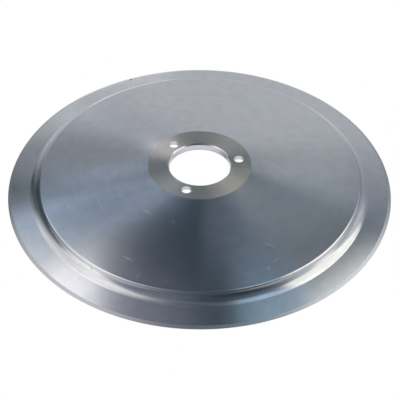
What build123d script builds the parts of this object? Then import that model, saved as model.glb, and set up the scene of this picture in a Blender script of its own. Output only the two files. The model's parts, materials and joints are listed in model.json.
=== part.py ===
from build123d import *
import math
import os

# Circular blade of a food slicer: one dished disc of hardened steel, turned and ground.
# The Z axis runs through the bore. The cutting edge lies in the plane Z = 0, the domed side
# faces up and carries the hub face, and the hollow side, which meets the food, faces down.
# One mounting hole lies on +X. All sizes are in millimetres.

# Overall form
blade_diameter = 250.0
blade_height = 16.5
web_thickness = 3.0

# Hub: a flat turned face that seats on the drive flange, with the bore that centres it
bore_diameter = 40.0
bore_chamfer_top = 0.75
bore_chamfer_under = 0.5
hub_diameter = 67.0
hub_thickness = 5.0
hub_under_diameter = 70.0
hub_under_blend = 1.5

# Mounting holes, countersunk from the hollow side so that the screw heads lie flush there
hole_count = 3
hole_circle_diameter = 52.0
hole_diameter = 6.5
countersink_diameter = 11.0
countersink_angle = 90.0

# Rim on the domed side: crest, concave cove, gentle cone, and the bevel ground on the cutting edge
rim_width = 20.7
crest_height = 8.3
crest_round = 1.5
cove_width = 6.6
cone_angle = 8.0
bevel_width = 2.0
bevel_angle = 23.0
edge_land = 0.15

# Ring on the hollow side, ground slightly hollow so that only the cutting edge touches the food
ring_rise = 0.7
ring_hollow = 0.15
ring_corner_break = 0.4
recess_fillet = 2.5

# Radii and heights that follow from the sizes above
edge_radius = blade_diameter / 2
crest_radius = edge_radius - rim_width
foot_radius = crest_radius + cove_width
bevel_radius = edge_radius - bevel_width
bore_radius = bore_diameter / 2
hub_radius = hub_diameter / 2
hub_under_radius = hub_under_diameter / 2
hub_under_height = blade_height - hub_thickness

cone_slope = math.radians(cone_angle)
bevel_height = edge_land + bevel_width * math.tan(math.radians(bevel_angle))
foot_height = bevel_height + (bevel_radius - foot_radius) * math.tan(cone_slope)
web_slope = math.atan2(blade_height - crest_height, crest_radius - hub_radius)

# Corners of the section as (radius, height)
hub_corner = Vector(hub_radius, blade_height)
crest = Vector(crest_radius, crest_height)
foot = Vector(foot_radius, foot_height)
bevel_corner = Vector(bevel_radius, bevel_height)
edge_top = Vector(edge_radius, edge_land)
edge_bottom = Vector(edge_radius, 0)

# The cove is an arc that leaves the cone without a break and ends at the crest, so its radius
# follows from the chord between those two points. The recess wall behind it has the same centre.
cone_normal = Vector(math.sin(cone_slope), math.cos(cone_slope))
cove_chord = crest - foot
cove_radius = cove_chord.dot(cove_chord) / (2 * cove_chord.dot(cone_normal))
cove_center = foot + cone_normal * cove_radius
recess_radius = cove_radius + web_thickness


def web_under(radius):
    """Height of the web's lower face, parallel to its upper face and one web thickness below."""
    fall = (radius - hub_radius) * math.tan(web_slope)
    return blade_height - fall - web_thickness / math.cos(web_slope)


# The recess wall starts on the inner edge of the ground ring, at the ring's own height
ring_drop = cove_center.Y - ring_rise
ring_inner = Vector(cove_center.X - math.sqrt(recess_radius**2 - ring_drop**2), ring_rise)
boss_corner = Vector(hub_under_radius, hub_under_height)
boss_root = Vector(hub_under_radius, web_under(hub_under_radius))

with BuildPart() as blade:
    # Half of the section, from the bore out over the domed side and back along the hollow side
    with BuildSketch(Plane.XZ) as section:
        with BuildLine():
            # The half circle on the bore's side of the cove's centre, to end the web's lower face on
            recess_wall = CenterArc(
                cove_center, recess_radius, start_angle=90, arc_size=180, mode=Mode.PRIVATE
            )
            Polyline((bore_radius, hub_under_height), (bore_radius, blade_height), hub_corner, crest)
            TangentArc(foot, crest, tangent=(-math.cos(cone_slope), math.sin(cone_slope)))
            Polyline(foot, bevel_corner, edge_top, edge_bottom)
            SagittaArc(edge_bottom, ring_inner, ring_hollow)
            web_lower = IntersectingLine(
                boss_root, (math.cos(web_slope), -math.sin(web_slope)), recess_wall
            )
            RadiusArc(web_lower @ 1, ring_inner, recess_radius)
            Polyline(boss_root, boss_corner, (bore_radius, hub_under_height))
        make_face()
        fillet(section.vertices().sort_by_distance(crest)[0], crest_round)
        fillet(section.vertices().sort_by_distance(web_lower @ 1)[0], recess_fillet)
        chamfer(section.vertices().sort_by_distance(ring_inner)[0], ring_corner_break)
        chamfer(section.vertices().sort_by_distance(boss_root)[0], hub_under_blend)
    revolve(axis=Axis.Z)

    # Both ends of the bore are chamfered
    bore = blade.faces().filter_by(GeomType.CYLINDER).sort_by(SortBy.RADIUS)[0]
    bore_ends = bore.edges().filter_by(GeomType.CIRCLE).sort_by(Axis.Z)
    chamfer(bore_ends[-1], bore_chamfer_top)
    chamfer(bore_ends[0], bore_chamfer_under)

    # Mounting holes, drilled and countersunk from the hub's lower face
    with Locations(Plane(origin=(0, 0, hub_under_height), x_dir=(1, 0, 0), z_dir=(0, 0, -1))):
        with PolarLocations(hole_circle_diameter / 2, hole_count):
            CounterSinkHole(
                radius=hole_diameter / 2,
                counter_sink_radius=countersink_diameter / 2,
                depth=hub_thickness,
                counter_sink_angle=countersink_angle,
            )

blade.part.label = "blade"

os.makedirs("parts", exist_ok=True)
export_step(blade.part, "parts/blade.step")
print("cove radius", round(cove_radius, 2), "mm, volume", round(blade.part.volume / 1000, 1), "cm3")
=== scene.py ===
"""Dresses a food slicer blade and shows it in a studio.

The blade is one dished disc of hardened steel: turned, ground and polished, with a turned hub face.
The file is laid out as a Blender add-on with one operator for the blade and one for the stage, and it
is run as a script. Lengths are in metres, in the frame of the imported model: the Z axis runs through
the bore, the cutting edge lies in the plane Z = 0 and one mounting hole lies on +X.
"""

import json
import math
from typing import NamedTuple

import bmesh
import bpy
import numpy as np
from mathutils import Matrix, Quaternion, Vector


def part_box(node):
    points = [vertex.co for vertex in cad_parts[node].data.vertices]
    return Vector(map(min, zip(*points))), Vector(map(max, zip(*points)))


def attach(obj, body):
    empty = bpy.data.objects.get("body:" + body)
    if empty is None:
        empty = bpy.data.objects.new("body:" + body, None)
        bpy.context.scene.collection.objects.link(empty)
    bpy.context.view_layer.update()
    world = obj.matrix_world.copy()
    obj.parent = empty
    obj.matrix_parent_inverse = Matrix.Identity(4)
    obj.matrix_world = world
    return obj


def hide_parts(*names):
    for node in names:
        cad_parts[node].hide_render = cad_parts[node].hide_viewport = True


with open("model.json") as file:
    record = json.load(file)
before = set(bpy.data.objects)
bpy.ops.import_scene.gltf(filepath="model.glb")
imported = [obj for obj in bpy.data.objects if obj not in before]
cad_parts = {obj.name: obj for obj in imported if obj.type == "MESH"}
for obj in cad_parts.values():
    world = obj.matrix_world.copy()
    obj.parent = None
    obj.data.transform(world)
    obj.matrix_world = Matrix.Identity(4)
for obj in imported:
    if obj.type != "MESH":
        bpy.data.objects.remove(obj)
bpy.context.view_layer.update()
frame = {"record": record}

bl_info = {
    "name": "Slicer Blade",
    "version": (1, 0, 0),
    "blender": (4, 5, 0),
    "location": "3D View > Sidebar > Slicer Blade",
    "description": "Builds a ground and polished slicer blade and the studio around it",
    "category": "Add Mesh",
}

MM = 0.001

# The camera: the photograph's width in pixels, the sensor's in mm, and how near and far it sees in metres
PHOTO_WIDTH = 400
SENSOR_WIDTH = 36.0
CLIP_NEAR, CLIP_FAR = 0.01, 50

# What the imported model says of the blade
blade_low, blade_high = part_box("blade")
mounts = {mount["name"]: mount for mount in frame["record"]["mounts"]}
bore_radius = mounts["bore"]["dims"]["r_mm"] * MM
hole_circle = mounts["fixing_holes"]["dims"]["pcd_mm"] * MM
hole_radius = mounts["fixing_holes"]["dims"]["hole_r_mm"] * MM
HOLE_COUNT = mounts["fixing_holes"]["dims"]["count"]

# How the blade's surface is divided: columns round the axis, the direction in degrees of the seam, which
# lies midway between two holes, steps round a hole, and steps down each part of its wall. Points that
# are nearer than WELD, in metres, are made one
COLUMNS = 432
SEAM_ANGLE = 60.0
HOLE_STEPS = 92
WALL_STEPS = 2
WELD = 1e-7

# Divisions of the light tent, round and up
TENT_SEGMENTS, TENT_RINGS = 96, 48

# Places of the finishes among the blade's material slots
WEB, RIM, HUB, BEVEL, BORED, UNDERSIDE = range(6)


def length_property(name, description, default):
    """A length in metres that a user may change."""
    return bpy.props.FloatProperty(
        name=name, description=description, default=default, min=0, precision=5, unit="LENGTH"
    )


def angle_property(name, description, degrees):
    """An angle, given here in degrees and held in radians."""
    return bpy.props.FloatProperty(
        name=name, description=description, default=math.radians(degrees), subtype="ANGLE"
    )


def hex_to_linear(code):
    """Linear light of an sRGB colour written as six hex digits."""
    parts = [int(code[i : i + 2], 16) / 255 for i in (0, 2, 4)]
    return tuple(p / 12.92 if p <= 0.04045 else ((p + 0.055) / 1.055) ** 2.4 for p in parts)


def colour_property(name, description, code):
    """A colour, given here as an sRGB hex value."""
    return bpy.props.FloatVectorProperty(
        name=name, description=description, default=hex_to_linear(code), subtype="COLOR", min=0, max=1
    )


class BladeSizes(bpy.types.PropertyGroup):
    """Sizes of the blade's turned section and of its mounting holes."""

    diameter: length_property("Diameter", "Across the cutting edge", 2 * blade_high.x)
    height: length_property("Height", "From the cutting edge to the hub face", blade_high.z - blade_low.z)
    web_thickness: length_property("Web thickness", "Wall of the dished web", 3 * MM)
    bore_diameter: length_property("Bore", "Bore that centres the blade", 2 * bore_radius)
    bore_chamfer_top: length_property("Upper bore chamfer", "Chamfer on the hub face", 0.75 * MM)
    bore_chamfer_under: length_property("Lower bore chamfer", "Chamfer on the lower face", 0.5 * MM)
    hub_diameter: length_property("Hub face", "Flat turned face round the bore", 67 * MM)
    hub_thickness: length_property("Hub thickness", "Wall at the hub", 5 * MM)
    hub_under_diameter: length_property("Hub underneath", "Lower face of the hub", 70 * MM)
    hub_under_blend: length_property("Hub blend", "Chamfer between hub and web underneath", 1.5 * MM)
    hole_circle: length_property("Hole circle", "Circle of the mounting holes", hole_circle)
    hole_diameter: length_property("Hole", "Mounting hole", 2 * hole_radius)
    countersink: length_property("Countersink", "Across a countersink underneath", 11 * MM)
    rim_width: length_property("Rim width", "From the crest to the cutting edge", 20.7 * MM)
    crest_height: length_property("Crest height", "Height of the crest over the edge", 8.3 * MM)
    crest_round: length_property("Crest round", "Radius on the crest", 1.5 * MM)
    cove_width: length_property("Cove width", "Concave stretch below the crest", 6.6 * MM)
    cone_angle: angle_property("Cone angle", "Slope of the rim", 8)
    bevel_width: length_property("Bevel width", "Bevel ground on the edge", 2.0 * MM)
    bevel_angle: angle_property("Bevel angle", "Slope of the bevel", 23)
    edge_land: length_property("Edge land", "Thickness left at the cutting edge", 0.15 * MM)
    ring_rise: length_property("Ring rise", "Rise of the ground ring underneath", 0.7 * MM)
    ring_hollow: length_property("Ring hollow", "Hollow ground into the ring", 0.15 * MM)
    ring_break: length_property("Ring corner", "Corner broken at the ring's inner edge", 0.4 * MM)
    recess_fillet: length_property("Recess fillet", "Radius at the root of the recess", 2.5 * MM)


class BladeFinish(bpy.types.PropertyGroup):
    """Colours of the steel."""

    steel: colour_property("Steel", "Ground chromium steel of the web and underside", "CBCBCC")
    polished: colour_property("Polished steel", "Brighter steel of the rim", "CBCBCB")
    honed: colour_property("Honed steel", "Steel of the bevel", "B9BABA")
    turned: colour_property("Turned steel", "Warmer steel of the hub face", "D8D4CA")


class StudioSettings(bpy.types.PropertyGroup):
    """Camera, tent and floor."""

    azimuth: angle_property("Azimuth", "Camera's direction round the blade", -11.47)
    elevation: angle_property("Elevation", "Camera's height as an angle", 42.19)
    distance: length_property("Distance", "From the camera to the blade's origin", 0.6999)
    aim_x: bpy.props.FloatProperty(
        name="Aim X",
        description="Point of the floor at the picture's middle",
        default=-2.95 * MM,
        unit="LENGTH",
    )
    aim_y: bpy.props.FloatProperty(
        name="Aim Y",
        description="Point of the floor at the picture's middle",
        default=-16.2 * MM,
        unit="LENGTH",
    )
    roll: angle_property("Roll", "Turn of the camera about its own axis", 0.4)
    focal_pixels: bpy.props.FloatProperty(
        name="Focal length", description="In pixels of the 400 pixel picture", default=1062.5, min=1
    )
    tent_radius: length_property("Tent radius", "Radius of the light tent", 0.6)
    floor_size: length_property("Floor size", "Side of the floor", 8.0)


class Stretch(NamedTuple):
    """One smooth stretch of the section, from its first point to its last."""

    points: np.ndarray
    normals: np.ndarray
    finish: int


def left_of(direction):
    """Unit vectors to the left of directions in the plane of radius and height."""
    turned = np.stack([-direction[..., 1], direction[..., 0]], axis=-1)
    return turned / np.linalg.norm(turned, axis=-1, keepdims=True)


def straight(start, end, steps, finish):
    """A line in equal steps. Its normal is the line's direction turned a quarter turn to the left."""
    share = np.linspace(0, 1, steps + 1)[:, None]
    start, end = np.asarray(start, float), np.asarray(end, float)
    points = start + (end - start) * share
    return Stretch(points, np.tile(left_of(end - start), (steps + 1, 1)), finish)


def arc(centre, start, end, steps, finish):
    """The shorter arc about a centre: the angle runs evenly from the start's to the end's.
    Its normal points to the centre where the arc turns left, and away from it where it turns right."""
    centre = np.asarray(centre, float)
    first, last = np.asarray(start) - centre, np.asarray(end) - centre
    begin = math.atan2(first[1], first[0])
    sweep = math.remainder(math.atan2(last[1], last[0]) - begin, math.tau)
    angle = begin + sweep * np.linspace(0, 1, steps + 1)
    outward = np.stack([np.cos(angle), np.sin(angle)], axis=1)
    return Stretch(centre + outward * np.linalg.norm(first), -math.copysign(1, sweep) * outward, finish)


def round_corner(line_point, line_direction, centre, radius, fillet):
    """Fillet between a falling line and an arc. The fillet's centre lies one fillet radius below the
    line, and one fillet radius outside the arc's circle, on the side that the line comes from."""
    over = left_of(line_direction)
    origin = line_point - over * fillet
    offset = origin - centre
    along = -offset @ line_direction
    along -= math.sqrt(along**2 - offset @ offset + (radius + fillet) ** 2)
    middle = origin + line_direction * along
    to_arc = (centre - middle) / np.linalg.norm(centre - middle)
    return middle, middle + over * fillet, middle + to_arc * fillet


def section(sizes):
    """The section's stretches in order: up the bore, out over the domed side to the cutting edge, and
    back along the hollow side. Points are (radius, height), and each normal points out of the steel.
    The number before a stretch's finish is how many steps it is divided into."""
    edge = sizes.diameter / 2
    bore = sizes.bore_diameter / 2
    hub = sizes.hub_diameter / 2
    boss = sizes.hub_under_diameter / 2
    crest = np.array([edge - sizes.rim_width, sizes.crest_height])
    bevel = np.array([edge - sizes.bevel_width, 0.0])
    bevel[1] = sizes.edge_land + sizes.bevel_width * math.tan(sizes.bevel_angle)
    foot = np.array([crest[0] + sizes.cove_width, 0.0])
    foot[1] = bevel[1] + (bevel[0] - foot[0]) * math.tan(sizes.cone_angle)
    web_fall = math.atan2(sizes.height - crest[1], crest[0] - hub)
    down_web = np.array([math.cos(web_fall), -math.sin(web_fall)])
    web_depth = sizes.web_thickness / math.cos(web_fall)

    # The cove leaves the cone without a break and ends on the crest
    cone_normal = np.array([math.sin(sizes.cone_angle), math.cos(sizes.cone_angle)])
    chord = crest - foot
    cove_radius = chord @ chord / (2 * chord @ cone_normal)
    cove_centre = foot + cone_normal * cove_radius
    crest_round = round_corner(crest, down_web, cove_centre, cove_radius, sizes.crest_round)

    # The recess wall has the cove's centre, one web thickness further out
    recess_radius = cove_radius + sizes.web_thickness
    drop = cove_centre[1] - sizes.ring_rise
    ring_inner = np.array([cove_centre[0] - math.sqrt(recess_radius**2 - drop**2), sizes.ring_rise])
    boss_root = np.array([boss, sizes.height - (boss - hub) * math.tan(web_fall) - web_depth])
    recess_round = round_corner(boss_root, down_web, cove_centre, recess_radius, sizes.recess_fillet)

    # The ring's hollow is an arc whose middle stands above its chord by the hollow's depth
    ring_chord = ring_inner - (edge, 0)
    half = np.linalg.norm(ring_chord) / 2
    ring_radius = (half**2 + sizes.ring_hollow**2) / (2 * sizes.ring_hollow)
    ring_middle = np.array([edge, 0]) + ring_chord / 2
    ring_centre = ring_middle + left_of(ring_chord) * (ring_radius - sizes.ring_hollow)

    # Its inner corner is broken by the same length on the arc and on the wall
    to_break = ring_inner - ring_chord / np.linalg.norm(ring_chord) * sizes.ring_break - ring_centre
    ring_break = ring_centre + to_break * ring_radius / np.linalg.norm(to_break)
    turn = sizes.ring_break / recess_radius
    rotation = np.array([[math.cos(turn), -math.sin(turn)], [math.sin(turn), math.cos(turn)]])
    wall_start = cove_centre + (ring_inner - cove_centre) @ rotation

    inner_band, outer_band = hub_bands(sizes)
    top, under = sizes.height, sizes.height - sizes.hub_thickness
    chamfer_top, chamfer_under = sizes.bore_chamfer_top, sizes.bore_chamfer_under
    blend = sizes.hub_under_blend
    return [
        straight((bore, under + chamfer_under), (bore, top - chamfer_top), 2, BORED),
        straight((bore, top - chamfer_top), (bore + chamfer_top, top), 1, RIM),
        straight((bore + chamfer_top, top), (inner_band[0], top), 3, HUB),
        straight((inner_band[0], top), (inner_band[1], top), 16, HUB),
        straight((inner_band[1], top), (hub, top), 4, HUB),
        straight((hub, top), crest_round[1], 24, WEB),
        arc(crest_round[0], crest_round[1], crest_round[2], 10, RIM),
        arc(cove_centre, crest_round[2], foot, 20, RIM),
        straight(foot, bevel, 10, RIM),
        straight(bevel, (edge, sizes.edge_land), 2, BEVEL),
        straight((edge, sizes.edge_land), (edge, 0), 1, BEVEL),
        arc(ring_centre, (edge, 0), ring_break, 8, UNDERSIDE),
        straight(ring_break, wall_start, 1, UNDERSIDE),
        arc(cove_centre, wall_start, recess_round[2], 10, UNDERSIDE),
        arc(recess_round[0], recess_round[2], recess_round[1], 10, UNDERSIDE),
        straight(recess_round[1], boss_root + down_web * blend, 14, UNDERSIDE),
        straight(boss_root + down_web * blend, boss_root - (0, blend), 1, UNDERSIDE),
        straight(boss_root - (0, blend), (boss, under), 2, UNDERSIDE),
        straight((boss, under), (outer_band[1], under), 2, HUB),
        straight((outer_band[1], under), (outer_band[0], under), 10, HUB),
        straight((outer_band[0], under), (bore + chamfer_under, under), 1, HUB),
        straight((bore + chamfer_under, under), (bore, under + chamfer_under), 1, BORED),
    ]


# The bands of the hub's two faces that give way to the patches round the holes: the stretch's place in
# the section, how many cells of it a patch takes, how many rings of cells lie round the hole, and the
# flat face left beside the hole, towards the bore and away from it
TOP_BAND, TOP_CELLS, TOP_RINGS = 3, 30, 6
TOP_MARGINS = (1.15 * MM, 1.35 * MM)
UNDER_BAND, UNDER_CELLS, UNDER_RINGS = 19, 36, 4
UNDER_MARGINS = (0.2 * MM, 1.1 * MM)


def hub_bands(sizes):
    """Inner and outer radius of the band that holds the holes, on the upper face and underneath."""
    middle, hole, sink = sizes.hole_circle / 2, sizes.hole_diameter / 2, sizes.countersink / 2
    top = (middle - hole - TOP_MARGINS[0], middle + hole + TOP_MARGINS[1])
    under = (middle - sink - UNDER_MARGINS[0], middle + sink + UNDER_MARGINS[1])
    return top, under


class Surface:
    """Grids of points that are put together into one mesh, welded where they meet."""

    def __init__(self):
        self.points, self.normals, self.maps, self.finishes = [], [], [], []

    def add(self, points, normals, along, around, finish, keep=None):
        """Adds the cells of a grid whose first direction, crossed with its second, points outwards.
        The map has the place along the section and the place round the axis, both from 0 to 1."""
        places = np.stack(np.broadcast_arrays(along, around), axis=-1)
        places = np.broadcast_to(places, points.shape[:2] + (2,))
        normals = np.broadcast_to(normals, points.shape)
        keep = np.ones((points.shape[0] - 1, points.shape[1] - 1), bool) if keep is None else keep
        for store, grid in ((self.points, points), (self.normals, normals), (self.maps, places)):
            corners = (grid[:-1, :-1], grid[1:, :-1], grid[1:, 1:], grid[:-1, 1:])
            store.append(np.stack(corners, axis=2)[keep].reshape(-1, grid.shape[2]))
        self.finishes.append(np.full(keep.sum(), finish))

    def mesh(self, name):
        """One mesh of the cells, with points that coincide made one, and the normals kept."""
        corners = np.concatenate(self.points)
        whole = np.round(corners / WELD).astype(np.int64)
        _, first, index = np.unique(whole, axis=0, return_index=True, return_inverse=True)
        faces = index.reshape(-1, 4)
        mesh = bpy.data.meshes.new(name)
        mesh.from_pydata(corners[first], [], faces)
        layer = mesh.uv_layers.new(name="turning")
        layer.uv.foreach_set("vector", np.concatenate(self.maps).astype(np.float32).ravel())
        mesh.polygons.foreach_set("material_index", np.concatenate(self.finishes).astype(np.int32))
        mesh.normals_split_custom_set(np.concatenate(self.normals).astype(np.float32))
        return mesh


def carry_round(stretch, angles):
    """Each point of a stretch carried round the Z axis: radius times cosine, radius times sine, height."""
    turned = []
    for pairs in (stretch.points, stretch.normals):
        across, up = pairs[:, :1], pairs[:, 1:]
        places = (across * np.cos(angles), across * np.sin(angles), up + 0 * angles)
        turned.append(np.stack(places, axis=2))
    return turned


def patch_outline(inner, outer, cells, centre_angle):
    """The border of a patch, counter-clockwise from its inner corner: out along one side, round the
    outer edge, back along the other side and round the inner edge. Points are (radius, angle)."""
    side = HOLE_STEPS // 2 - cells
    half = cells / 2 * math.tau / COLUMNS
    sweep = np.linspace(-half, half, cells + 1)
    reach = np.linspace(inner, outer, side + 1)
    radius = (reach[:-1], np.full(cells, outer), reach[:0:-1], np.full(cells + 1, inner))
    angle = (np.full(side, -half), sweep[:-1], np.full(side, half), sweep[::-1])
    return np.concatenate(radius), np.concatenate(angle) + centre_angle


def hole_angles(cells):
    """Even angles round a hole, counter-clockwise from the one that faces a patch's first corner."""
    step = math.tau / HOLE_STEPS
    return math.pi + cells / 2 * step + step * np.arange(HOLE_STEPS + 1)


def hole_patch(surface, band, cells, rings, opening, middle_radius, centre_angle, height, up, span):
    """The flat face between a patch's border and a hole, whose radius is the opening: each ring lies a
    share of the way from the border to the circle. The map continues the band's own."""
    radius, angle = patch_outline(*band, cells, centre_angle)
    border = np.stack([radius * np.cos(angle), radius * np.sin(angle)], axis=1)
    middle = middle_radius * np.array([math.cos(centre_angle), math.sin(centre_angle)])
    turn = hole_angles(cells) + centre_angle
    circle = middle + opening * np.stack([np.cos(turn), np.sin(turn)], axis=1)
    share = np.linspace(0, 1, rings + 1)[:, None, None]
    flat = border + (circle - border) * share
    points = np.concatenate([flat, np.full(flat.shape[:2] + (1,), height)], axis=2)
    reach = np.hypot(flat[..., 0], flat[..., 1])
    along = span[0] + (reach - band[0]) / (band[1] - band[0]) * (span[1] - span[0])
    sideways = (-math.sin(centre_angle), math.cos(centre_angle))
    offset = np.arctan2(flat @ sideways, flat @ (middle / middle_radius))
    around = place_round(centre_angle + offset)
    if up > 0:
        points, along, around = points[:, ::-1], along[:, ::-1], around[:, ::-1]
    surface.add(points, (0, 0, up), along, around, HUB)


def place_round(angle):
    """Place round the axis from 0 to 1, counted from the seam between two holes."""
    return (angle - math.radians(SEAM_ANGLE)) / math.tau


def hole_wall(surface, sizes, number, centre_angle, along_start, along_scale):
    """A hole's wall: a cylinder that opens into the countersink's cone, carried round the hole's axis."""
    top, under = sizes.height, sizes.height - sizes.hub_thickness
    small, large = sizes.hole_diameter / 2, sizes.countersink / 2
    neck = under + large - small
    middle = sizes.hole_circle / 2 * np.array([math.cos(centre_angle), math.sin(centre_angle)])
    angles = hole_angles(TOP_CELLS)
    along = along_start
    for stretch in (
        straight((large, under), (small, neck), WALL_STEPS, BORED),
        straight((small, neck), (small, top), WALL_STEPS, BORED),
    ):
        points, normals = carry_round(stretch, angles + centre_angle)
        points[..., :2] += middle
        reach = path_length(stretch.points) * along_scale
        around = (number + np.linspace(0, 1, HOLE_STEPS + 1)) / HOLE_COUNT
        surface.add(points, normals, (along + reach)[:, None], around, BORED)
        along += reach[-1]


def path_length(points):
    """Distance along a path at each of its points."""
    steps = np.linalg.norm(np.diff(points, axis=0), axis=1)
    return np.concatenate([[0.0], np.cumsum(steps)])


def blade_mesh(sizes):
    """The whole blade: its section carried round the axis, with a patch and a wall at each hole."""
    stretches = section(sizes)
    wall_length = sizes.hub_thickness + (sizes.countersink - sizes.hole_diameter) / 2
    total = sum(path_length(s.points)[-1] for s in stretches) + wall_length
    angles = math.radians(SEAM_ANGLE) + np.linspace(0, math.tau, COLUMNS + 1)
    centres = math.tau / HOLE_COUNT * np.arange(1, HOLE_COUNT + 1)
    patches = {TOP_BAND: TOP_CELLS, UNDER_BAND: UNDER_CELLS}
    surface = Surface()
    along, spans = 0.0, {}
    for number, stretch in enumerate(stretches):
        points, normals = carry_round(stretch, angles)
        reach = along + path_length(stretch.points) / total
        keep = np.ones((len(stretch.points) - 1, COLUMNS), bool)
        if number in patches:
            middle = (angles[:-1] + angles[1:])[:, None] / 2 - centres
            half = patches[number] / 2 * math.tau / COLUMNS
            near = np.abs((middle + math.pi) % math.tau - math.pi) < half
            keep &= ~near.any(axis=1)
            spans[number] = (reach[0], reach[-1])
        surface.add(points, normals, reach[:, None], place_round(angles), stretch.finish, keep)
        along = reach[-1]

    top_band, under_band = hub_bands(sizes)
    top, under = sizes.height, sizes.height - sizes.hub_thickness
    middle_radius = sizes.hole_circle / 2
    small, large = sizes.hole_diameter / 2, sizes.countersink / 2
    for number, centre in enumerate(centres):
        hole_patch(
            surface, top_band, TOP_CELLS, TOP_RINGS, small, middle_radius, centre, top, 1, spans[TOP_BAND]
        )
        inward = spans[UNDER_BAND][::-1]
        hole_patch(
            surface, under_band, UNDER_CELLS, UNDER_RINGS, large, middle_radius, centre, under, -1, inward
        )
        hole_wall(surface, sizes, number, centre, along, 1 / total)
    return surface.mesh("blade")


def add_node(tree, kind, inputs=None, **settings):
    """Adds a node, gives it its settings, and links or sets each of its inputs by name or number."""
    made = tree.nodes.new(kind)
    for name, value in settings.items():
        setattr(made, name, value)
    for name, value in (inputs or {}).items():
        if isinstance(value, bpy.types.NodeSocket):
            tree.links.new(value, made.inputs[name])
        else:
            made.inputs[name].default_value = value
    return made


def new_material(name):
    """An empty material, its node tree and its Principled shader."""
    material = bpy.data.materials.new(name)
    material.use_nodes = True
    tree = material.node_tree
    tree.nodes.clear()
    shader = add_node(tree, "ShaderNodeBsdfPrincipled", {"Metallic": 1.0})
    output = add_node(tree, "ShaderNodeOutputMaterial", {"Surface": shader.outputs["BSDF"]})
    output.is_active_output = True
    return material, tree, shader


# How finely the noise is broken up, and the range that most of its values lie in
NOISE_DETAIL = 3.0
NOISE_LOW, NOISE_HIGH = 0.3, 0.7


def turned_grain(tree, pitch, swing):
    """Grain in circles about the blade's axis, as a wheel or a tool leaves it: noise read at the
    radius over the pitch and at the direction times the swing, so that it closes on itself. The real
    lines lie less than 0.1 mm apart and wouldn't show, so every finish's pitch is drawn coarser."""
    place = add_node(tree, "ShaderNodeTexCoord").outputs["Object"]
    flat = add_node(tree, "ShaderNodeVectorMath", {0: place, 1: (1, 1, 0)}, operation="MULTIPLY").outputs[0]
    radius = add_node(tree, "ShaderNodeVectorMath", {0: flat}, operation="LENGTH").outputs["Value"]
    direction = add_node(tree, "ShaderNodeVectorMath", {0: flat}, operation="NORMALIZE").outputs[0]
    around = add_node(
        tree, "ShaderNodeVectorMath", {0: direction, "Scale": swing}, operation="SCALE"
    ).outputs[0]
    rise = add_node(tree, "ShaderNodeMath", {0: radius, 1: 1 / pitch}, operation="MULTIPLY").outputs[0]
    climb = add_node(tree, "ShaderNodeCombineXYZ", {"Z": rise}).outputs[0]
    spot = add_node(tree, "ShaderNodeVectorMath", {0: around, 1: climb}).outputs[0]
    return add_node(
        tree, "ShaderNodeTexNoise", {"Vector": spot, "Scale": 1.0, "Detail": NOISE_DETAIL}
    ).outputs["Fac"]


def cloud(tree, size):
    """Soft patches of about the given size, from noise at the place on the blade."""
    place = add_node(tree, "ShaderNodeTexCoord").outputs["Object"]
    return add_node(
        tree, "ShaderNodeTexNoise", {"Vector": place, "Scale": 1 / size, "Detail": NOISE_DETAIL}
    ).outputs["Fac"]


def spread(tree, value, low, high):
    """Stretches the middle of a noise value over a range."""
    ranges = {"From Min": NOISE_LOW, "From Max": NOISE_HIGH, "To Min": low, "To Max": high}
    return add_node(tree, "ShaderNodeMapRange", {"Value": value, **ranges}).outputs["Result"]


class Mark(NamedTuple):
    """A long spot on the blade: where its middle lies, how far it is turned from the direction round
    the axis, and its size. Lengths are in mm and angles in degrees."""

    radius: float
    angle: float
    turn: float
    length: float
    width: float


# A dark spot at the cutting edge, painted black in the colour of the rim and the bevel
EDGE_MARKS = {"dark edge spot": Mark(122.4, 103.2, 0, 2.3, 1.9)}
# A small pit in the cove, drawn only as painted shade: a grey spot in the rim's colour
COVE_PIT_SHADE = {"painted pit shade": Mark(105.4, -139, 0, 1.5, 0.8)}
WEB_MARKS = {
    "long scratch": Mark(89.5, -129.8, -7, 8.3, 0.7),
    "short scratch": Mark(98.7, -122.8, 87, 3.9, 0.7),
    "slanting scratch": Mark(97.6, -112.4, 38, 7.8, 0.7),
    "right scratch": Mark(80.1, -69.2, -56, 8.5, 0.6),
    "right low scratch": Mark(94.7, -75.6, 31, 4.6, 0.6),
    "right lowest scratch": Mark(91.5, -71.7, 1, 6.5, 0.6),
    "inner scratch": Mark(53.6, -139.3, 3, 9.4, 0.8),
    "inner short scratch": Mark(54.2, -118.2, -40, 5.8, 0.7),
    "left scratch": Mark(89.1, -169.1, -4, 11.4, 0.6),
    "left inner scratch": Mark(71.3, -160.8, -5, 6.9, 0.6),
}


# Where a mark's soft edge begins and where the mark is full, as shares of its half size
MARK_EDGE, MARK_FULL = 1.2, 0.4


def marked(tree, marks):
    """1 on the marks and 0 off them, with soft edges: each place is turned into the mark's own
    directions and divided by its half sizes."""
    place = add_node(tree, "ShaderNodeTexCoord").outputs["Object"]
    flat = add_node(tree, "ShaderNodeVectorMath", {0: place, 1: (1, 1, 0)}, operation="MULTIPLY").outputs[0]
    total = 0.0
    for mark in marks.values():
        angle = math.radians(mark.angle)
        middle = (mark.radius * MM * math.cos(angle), mark.radius * MM * math.sin(angle), 0)
        turn = (0, 0, angle + math.radians(90 + mark.turn))
        half = (mark.length / 2 * MM, mark.width / 2 * MM, 1)
        local = add_node(
            tree,
            "ShaderNodeMapping",
            {"Vector": flat, "Location": middle, "Rotation": turn, "Scale": half},
            vector_type="TEXTURE",
        ).outputs[0]
        reach = add_node(tree, "ShaderNodeVectorMath", {0: local}, operation="LENGTH").outputs["Value"]
        spot = add_node(
            tree, "ShaderNodeMapRange", {"Value": reach, "From Min": MARK_EDGE, "From Max": MARK_FULL}
        ).outputs["Result"]
        total = add_node(tree, "ShaderNodeMath", {0: spot, 1: total}, operation="MAXIMUM").outputs[0]
    return total


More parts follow.
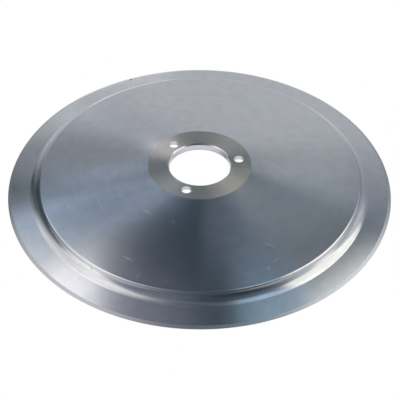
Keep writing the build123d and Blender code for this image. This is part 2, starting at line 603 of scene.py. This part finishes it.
def darkened(tree, value, marks, depth):
    """A value brought down by a share of itself on the marks."""
    kept = add_node(
        tree, "ShaderNodeMath", {0: marks, 1: -depth, 2: 1.0}, operation="MULTIPLY_ADD"
    ).outputs[0]
    return add_node(tree, "ShaderNodeMath", {0: value, 1: kept}, operation="MULTIPLY").outputs[0]


def shaded(tree, colour, factor):
    """A colour made lighter or darker by a factor."""
    return add_node(
        tree, "ShaderNodeVectorMath", {0: tuple(colour), "Scale": factor}, operation="SCALE"
    ).outputs[0]


def along_grain(tree, shader, amount):
    """Stretches highlights across the grain. The map's first direction runs out from the axis."""
    shader.inputs["Anisotropic"].default_value = amount
    tangent = add_node(tree, "ShaderNodeTangent", direction_type="UV_MAP", uv_map="turning")
    tree.links.new(tangent.outputs["Tangent"], shader.inputs["Tangent"])


# The web's roughness, and what a scratch adds to it and, as a painted highlight, to the colour's factor
WEB_ROUGHNESS, SCRATCH_ROUGHNESS, SCRATCH_PAINTED_HIGHLIGHT = 0.151, 0.08, 0.14


def ground_web(finish):
    """Circularly ground chromium steel: a satin shine with faint rings and soft, cloudy patches. The
    scratches are rougher, so they catch light where the web mirrors the dark, and they are also painted a
    little lighter as a painted highlight."""
    material, tree, shader = new_material("circularly ground steel")
    rings = turned_grain(tree, pitch=0.8 * MM, swing=1.5)
    patches = cloud(tree, size=7 * MM)
    shade = add_node(
        tree,
        "ShaderNodeMath",
        {0: spread(tree, rings, low=0.98, high=1.02), 1: spread(tree, patches, low=0.965, high=1.035)},
        operation="MULTIPLY",
    ).outputs[0]
    scratches = marked(tree, WEB_MARKS)
    # The scratches are painted lighter here: a painted highlight for the light that they catch
    shade = add_node(
        tree, "ShaderNodeMath", {0: scratches, 1: SCRATCH_PAINTED_HIGHLIGHT, 2: shade}, operation="MULTIPLY_ADD"
    ).outputs[0]
    roughness = add_node(
        tree,
        "ShaderNodeMath",
        {0: scratches, 1: SCRATCH_ROUGHNESS, 2: WEB_ROUGHNESS},
        operation="MULTIPLY_ADD",
    ).outputs[0]
    tree.links.new(shaded(tree, finish.steel, shade), shader.inputs["Base Color"])
    tree.links.new(roughness, shader.inputs["Roughness"])
    along_grain(tree, shader, amount=0.63)
    return material


def polished_rim(finish):
    """Finely ground and polished steel: nearly a mirror, a little blurred along the grain. A dark spot at
    the edge is painted black, and a small pit in the cove is painted grey as its painted shade."""
    material, tree, shader = new_material("polished steel")
    rings = turned_grain(tree, pitch=0.9 * MM, swing=1.0)
    shade = spread(tree, cloud(tree, size=6 * MM), low=0.96, high=1.04)
    # The dark spot by the edge is painted black
    shade = darkened(tree, shade, marked(tree, EDGE_MARKS), depth=1.0)
    # Painted shade of the small pit in the cove
    shade = darkened(tree, shade, marked(tree, COVE_PIT_SHADE), depth=0.45)
    tree.links.new(shaded(tree, finish.polished, shade), shader.inputs["Base Color"])
    tree.links.new(spread(tree, rings, low=0.16, high=0.165), shader.inputs["Roughness"])
    along_grain(tree, shader, amount=0.48)
    return material


def turned_hub(finish):
    """Face turned on a lathe: fine grooves throw fans of light out from the bore."""
    material, tree, shader = new_material("turned steel")
    rings = turned_grain(tree, pitch=0.6 * MM, swing=0.6)
    shade = spread(tree, rings, low=0.96, high=1.04)
    tree.links.new(shaded(tree, finish.turned, shade), shader.inputs["Base Color"])
    tree.links.new(spread(tree, rings, low=0.214, high=0.222), shader.inputs["Roughness"])
    along_grain(tree, shader, amount=1.0)
    return material


def honed_bevel(finish):
    """Bevel left by the sharpening stone: fine crossed scratches give it an even, matt grey."""
    material, tree, shader = new_material("honed steel")
    rings = turned_grain(tree, pitch=0.5 * MM, swing=0.8)
    # The dark spot by the edge is painted black
    shade = darkened(tree, 1.0, marked(tree, EDGE_MARKS), depth=1.0)
    tree.links.new(shaded(tree, finish.honed, shade), shader.inputs["Base Color"])
    tree.links.new(spread(tree, rings, low=0.34, high=0.4), shader.inputs["Roughness"])
    along_grain(tree, shader, amount=0.3)
    return material


def bored_steel(finish):
    """Walls left by a boring bar and a drill: plain machined steel, with an even, soft shine."""
    material, tree, shader = new_material("bored steel")
    shader.inputs["Base Color"].default_value = (*finish.steel, 1)
    shader.inputs["Roughness"].default_value = 0.25
    return material


def ground_underside(finish):
    """The hollow side, ground like the web and a little coarser, so its shine is duller and wider."""
    material, tree, shader = new_material("coarsely ground steel")
    shader.inputs["Base Color"].default_value = (*finish.steel, 1)
    rings = turned_grain(tree, pitch=1.5 * MM, swing=1.5)
    tree.links.new(spread(tree, rings, low=0.3, high=0.38), shader.inputs["Roughness"])
    along_grain(tree, shader, amount=0.6)
    return material


# The finishes, in the order of the blade's material slots
FINISHES = (ground_web, polished_rim, turned_hub, honed_bevel, bored_steel, ground_underside)


class SoftBox(NamedTuple):
    """A patch of light on the tent. Angles are in degrees: azimuth 0 is behind the blade and 90 is to
    the right, width and height are halves, and softness is the edge's share of the box."""

    azimuth: float
    elevation: float
    width: float
    height: float
    turn: float
    softness: float
    strength: float
    colour: str


SOFT_BOXES = {
    "left bank": SoftBox(-111, 36, 11, 23, 3, 0.8, 0.94, "FFF6ED"),
    "left upper bank": SoftBox(-75, 49.5, 19.5, 11.5, -31, 0.8, 0.38, "F9FCFF"),
    "left inner bank": SoftBox(-73, 43, 11, 20.5, -21, 0.65, 0.6, "FFFCFD"),
    "left corner": SoftBox(-53, 60.5, 7, 4, -45, 0.7, 0.94, "F9F8F9"),
    "left top": SoftBox(-72, 68, 11.5, 12, 0, 0.85, 0.33, "E9E4FF"),
    "left low fill": SoftBox(-106.5, 19.5, 18.5, 25.5, 19.5, 0.9, 0.13, "CBDDFF"),
    "left rear fill": SoftBox(-128.5, 24, 34, 26, -30, 0.55, 0.21, "E9EFFF"),
    "left patch": SoftBox(-63.5, 11, 6.5, 10.5, -27, 0.4, 0.08, "F1F2FF"),
    "left low patch": SoftBox(-90, 25, 6, 6, 0, 0.35, 0.18, "FCFCFF"),
    "left slot": SoftBox(-27, 29, 8.5, 14, -32, 0.45, 0.32, "F2F6FF"),
    "left strip": SoftBox(-35, 48, 22.5, 5.5, 26, 0.1, 0.4, "CADFFF"),
    "left gap lamp": SoftBox(-28, 41, 10, 3, 0, 0.6, 0.2, "B8D4FF"),
    "left lamp": SoftBox(-14.5, 49.5, 6, 6, 0, 0.35, 0.08, "FFF7F7"),
    "right bank": SoftBox(92.5, 40.5, 24.5, 19, -35, 0.1, 1, "FFF8E4"),
    "right rear bank": SoftBox(120, 37, 8, 22, 0, 0.35, 0.08, "35C3FF"),
    "right upper band": SoftBox(79, 47, 29.5, 7.5, 25.5, 0.9, 0.19, "CADDFF"),
    "right slot": SoftBox(28, 47.5, 5.5, 9.5, 20.5, 0.55, 0.27, "E9F5FF"),
    "right gap lamp": SoftBox(19.5, 40.5, 3.5, 3, 0, 0.5, 0.2, "E9F5FF"),
    "right strip": SoftBox(55, 53, 3, 11.5, -7, 0.25, 1.9, "FDFFFD"),
    "right corner": SoftBox(73.5, 59, 4.5, 3.5, 6.5, 0.5, 0.9, "FFEED6"),
    "right tower": SoftBox(107.5, 7.5, 12, 36.5, 15, 0.9, 0.1, "DCD9FF"),
    "right low fill": SoftBox(79.5, 8, 23, 32, -23.5, 0.9, 0.47, "EEF3FF"),
    "right patch": SoftBox(77, 17, 11.5, 11.5, 25, 0.55, 0.27, "FFF9F3"),
    "right low patch": SoftBox(103.5, 10, 7, 7, -10, 0.5, 0.51, "FFF9ED"),
    "right high band": SoftBox(96.5, 71.5, 16.5, 6, -15, 0.75, 0.7, "BCE3FF"),
    "high lamp": SoftBox(15, 61, 6, 6, 0, 0.35, 0.12, "DBE7FF"),
    "backdrop": SoftBox(-2, 6.5, 40, 23.5, 20.5, 0.3, 0.64, "F8F9FF"),
    "backdrop patch": SoftBox(-13, -10.5, 8, 22, -2.5, 0.35, 0.9, "FFFCFD"),
    "paper behind": SoftBox(0, -45, 35, 31, 19, 0.4, 0.85, "FFFFFF"),
    "warm lamp": SoftBox(8.5, 48, 4.5, 3, 12, 0.6, 0.6, "FFF5F2"),
    "small lamp": SoftBox(-9.5, 36, 3, 3, 7, 0.55, 1.58, "F8F4FF"),
    "rear ceiling": SoftBox(178.5, 73.5, 46.5, 10, -21.5, 0.85, 0.1, "E8ECFF"),
    "paper in front": SoftBox(180, -48, 60, 35, 0, 0.4, 0.9, "FFFFFF"),
}

# Light of the bare fabric between the boxes
TENT_COLOUR, TENT_STRENGTH = "A8D4F4", 0.085


def glow_of(code, strength):
    """Light of an sRGB colour at a strength."""
    return Vector(hex_to_linear(code)) * strength


def soft_box_light(tree, place, box, before):
    """Adds a box's light to the light so far. The place is turned into the box's own directions and
    divided by its size; the light falls off smoothly where the fourth powers of both add up to one."""
    azimuth, elevation, turn = (math.radians(v) for v in (box.azimuth, box.elevation, box.turn))
    level = math.cos(elevation)
    right = Vector((math.cos(azimuth), -math.sin(azimuth), 0))
    out = Vector((math.sin(azimuth) * level, math.cos(azimuth) * level, math.sin(elevation)))
    axes = Matrix((right, right.cross(out), -out)).transposed() @ Matrix.Rotation(turn, 3, "Z")
    size = (math.sin(math.radians(box.width)), math.sin(math.radians(box.height)), 1)
    local = add_node(
        tree,
        "ShaderNodeMapping",
        {"Vector": place, "Rotation": axes.to_euler(), "Scale": size},
        vector_type="TEXTURE",
    ).outputs[0]
    behind = add_node(tree, "ShaderNodeSeparateXYZ", {0: local}).outputs["Z"]
    front = add_node(tree, "ShaderNodeMath", {0: behind, 1: 0.0}, operation="LESS_THAN").outputs[0]
    flat = add_node(tree, "ShaderNodeVectorMath", {0: local, 1: (1, 1, 0)}, operation="MULTIPLY").outputs[0]
    square = add_node(tree, "ShaderNodeVectorMath", {0: flat, 1: flat}, operation="MULTIPLY").outputs[0]
    reach = add_node(tree, "ShaderNodeVectorMath", {0: square}, operation="LENGTH").outputs["Value"]
    edges = {"From Min": (1 + box.softness) ** 2, "From Max": (1 - box.softness) ** 2}
    mask = add_node(
        tree, "ShaderNodeMapRange", {"Value": reach, **edges}, interpolation_type="SMOOTHSTEP"
    ).outputs["Result"]
    mask = add_node(tree, "ShaderNodeMath", {0: mask, 1: front}, operation="MULTIPLY").outputs[0]
    glow = glow_of(box.colour, box.strength)
    return add_node(
        tree, "ShaderNodeVectorMath", {0: mask, 1: glow, 2: before}, operation="MULTIPLY_ADD"
    ).outputs[0]


def tent_fabric(azimuth):
    """White fabric of a light tent, lit from outside by the soft boxes. It is turned with the camera."""
    material = bpy.data.materials.new("tent fabric")
    material.use_nodes = True
    material.cycles.emission_sampling = "NONE"
    tree = material.node_tree
    tree.nodes.clear()
    place = add_node(tree, "ShaderNodeTexCoord").outputs["Object"]
    place = add_node(tree, "ShaderNodeVectorMath", {0: place}, operation="NORMALIZE").outputs[0]
    turned = add_node(
        tree, "ShaderNodeVectorRotate", {"Vector": place, "Angle": -azimuth}, rotation_type="Z_AXIS"
    ).outputs[0]
    light = glow_of(TENT_COLOUR, TENT_STRENGTH)
    for box in SOFT_BOXES.values():
        light = soft_box_light(tree, turned, box, light)
    glow = add_node(tree, "ShaderNodeEmission", {"Color": light}).outputs[0]
    add_node(tree, "ShaderNodeOutputMaterial", {"Surface": glow})
    return material


def link(name, mesh, materials):
    """A new object of the scene, at the origin, with its mesh and its materials."""
    made = bpy.data.objects.new(name, mesh)
    bpy.context.scene.collection.objects.link(made)
    for material in materials:
        mesh.materials.append(material)
    return made


def make_floor(size):
    """A white floor that the camera sees and the steel doesn't mirror."""
    half = size / 2
    mesh = bpy.data.meshes.new("floor")
    corners = [(-half, -half, 0), (half, -half, 0), (half, half, 0), (-half, half, 0)]
    mesh.from_pydata(corners, [], [(0, 1, 2, 3)])
    material = bpy.data.materials.new("white paper")
    material.use_nodes = True
    tree = material.node_tree
    tree.nodes.clear()
    glow = add_node(tree, "ShaderNodeEmission", {"Color": (1, 1, 1, 1)}).outputs[0]
    add_node(tree, "ShaderNodeOutputMaterial", {"Surface": glow})
    floor = link("floor", mesh, [material])
    floor.visible_glossy = False


def make_tent(radius, azimuth):
    """A sphere about the blade, which only the steel sees."""
    shell = bmesh.new()
    bmesh.ops.create_uvsphere(shell, u_segments=TENT_SEGMENTS, v_segments=TENT_RINGS, radius=radius)
    mesh = bpy.data.meshes.new("light_tent")
    shell.to_mesh(mesh)
    shell.free()
    tent = link("light_tent", mesh, [tent_fabric(azimuth)])
    tent.visible_camera = False
    tent.visible_shadow = False


def make_camera(studio):
    """The photograph's camera. It stands at its azimuth, elevation and distance and looks at the aim."""
    azimuth, elevation = studio.azimuth, studio.elevation
    level = math.cos(elevation)
    back = Vector((math.sin(azimuth) * level, -math.cos(azimuth) * level, math.sin(elevation)))
    data = bpy.data.cameras.new("camera")
    data.sensor_width = SENSOR_WIDTH
    data.lens = studio.focal_pixels * SENSOR_WIDTH / PHOTO_WIDTH
    camera = bpy.data.objects.new("camera", data)
    bpy.context.scene.collection.objects.link(camera)
    camera.location = back * studio.distance
    view = Vector((studio.aim_x, studio.aim_y, 0)) - camera.location
    camera.rotation_mode = "QUATERNION"
    camera.rotation_quaternion = view.to_track_quat("-Z", "Y") @ Quaternion((0, 0, 1), studio.roll)
    data.clip_start, data.clip_end = CLIP_NEAR, CLIP_FAR
    bpy.context.scene.camera = camera


class SLICER_OT_blade(bpy.types.Operator):
    """Builds the blade with its finishes in place of the plain solid"""

    bl_idname = "slicer.blade"
    bl_label = "Blade"

    def execute(self, context):
        sizes, finish = context.scene.blade_sizes, context.scene.blade_finish
        materials = [make(finish) for make in FINISHES]
        blade = link("ground_blade", blade_mesh(sizes), materials)
        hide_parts("blade")
        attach(blade, "root")
        return {"FINISHED"}


class SLICER_OT_studio(bpy.types.Operator):
    """Builds the floor, the light tent and the camera"""

    bl_idname = "slicer.studio"
    bl_label = "Studio"

    def execute(self, context):
        studio = context.scene.blade_studio
        make_floor(studio.floor_size)
        make_tent(studio.tent_radius, studio.azimuth)
        make_camera(studio)
        world = bpy.data.worlds.new("white room")
        world.use_nodes = True
        world.node_tree.nodes["Background"].inputs["Color"].default_value = (1, 1, 1, 1)
        context.scene.world = world
        context.scene.view_settings.view_transform = "Standard"
        return {"FINISHED"}


class SLICER_PT_panel(bpy.types.Panel):
    """Lists the operators and the values that they read"""

    bl_label = "Slicer Blade"
    bl_idname = "SLICER_PT_panel"
    bl_space_type = "VIEW_3D"
    bl_region_type = "UI"
    bl_category = "Slicer Blade"

    def draw(self, context):
        scene = context.scene
        for operator, groups in (
            (SLICER_OT_blade, (scene.blade_sizes, scene.blade_finish)),
            (SLICER_OT_studio, (scene.blade_studio,)),
        ):
            box = self.layout.box()
            box.operator(operator.bl_idname)
            for group in groups:
                for name in group.__annotations__:
                    box.prop(group, name)


CLASSES = (BladeSizes, BladeFinish, StudioSettings, SLICER_OT_blade, SLICER_OT_studio, SLICER_PT_panel)


def register():
    for each in CLASSES:
        bpy.utils.register_class(each)
    bpy.types.Scene.blade_sizes = bpy.props.PointerProperty(type=BladeSizes)
    bpy.types.Scene.blade_finish = bpy.props.PointerProperty(type=BladeFinish)
    bpy.types.Scene.blade_studio = bpy.props.PointerProperty(type=StudioSettings)


def unregister():
    del bpy.types.Scene.blade_studio
    del bpy.types.Scene.blade_finish
    del bpy.types.Scene.blade_sizes
    for each in reversed(CLASSES):
        bpy.utils.unregister_class(each)


def main():
    """Registers the add-on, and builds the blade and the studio."""
    register()
    bpy.ops.slicer.blade()
    bpy.ops.slicer.studio()


if __name__ == "__main__":
    main()
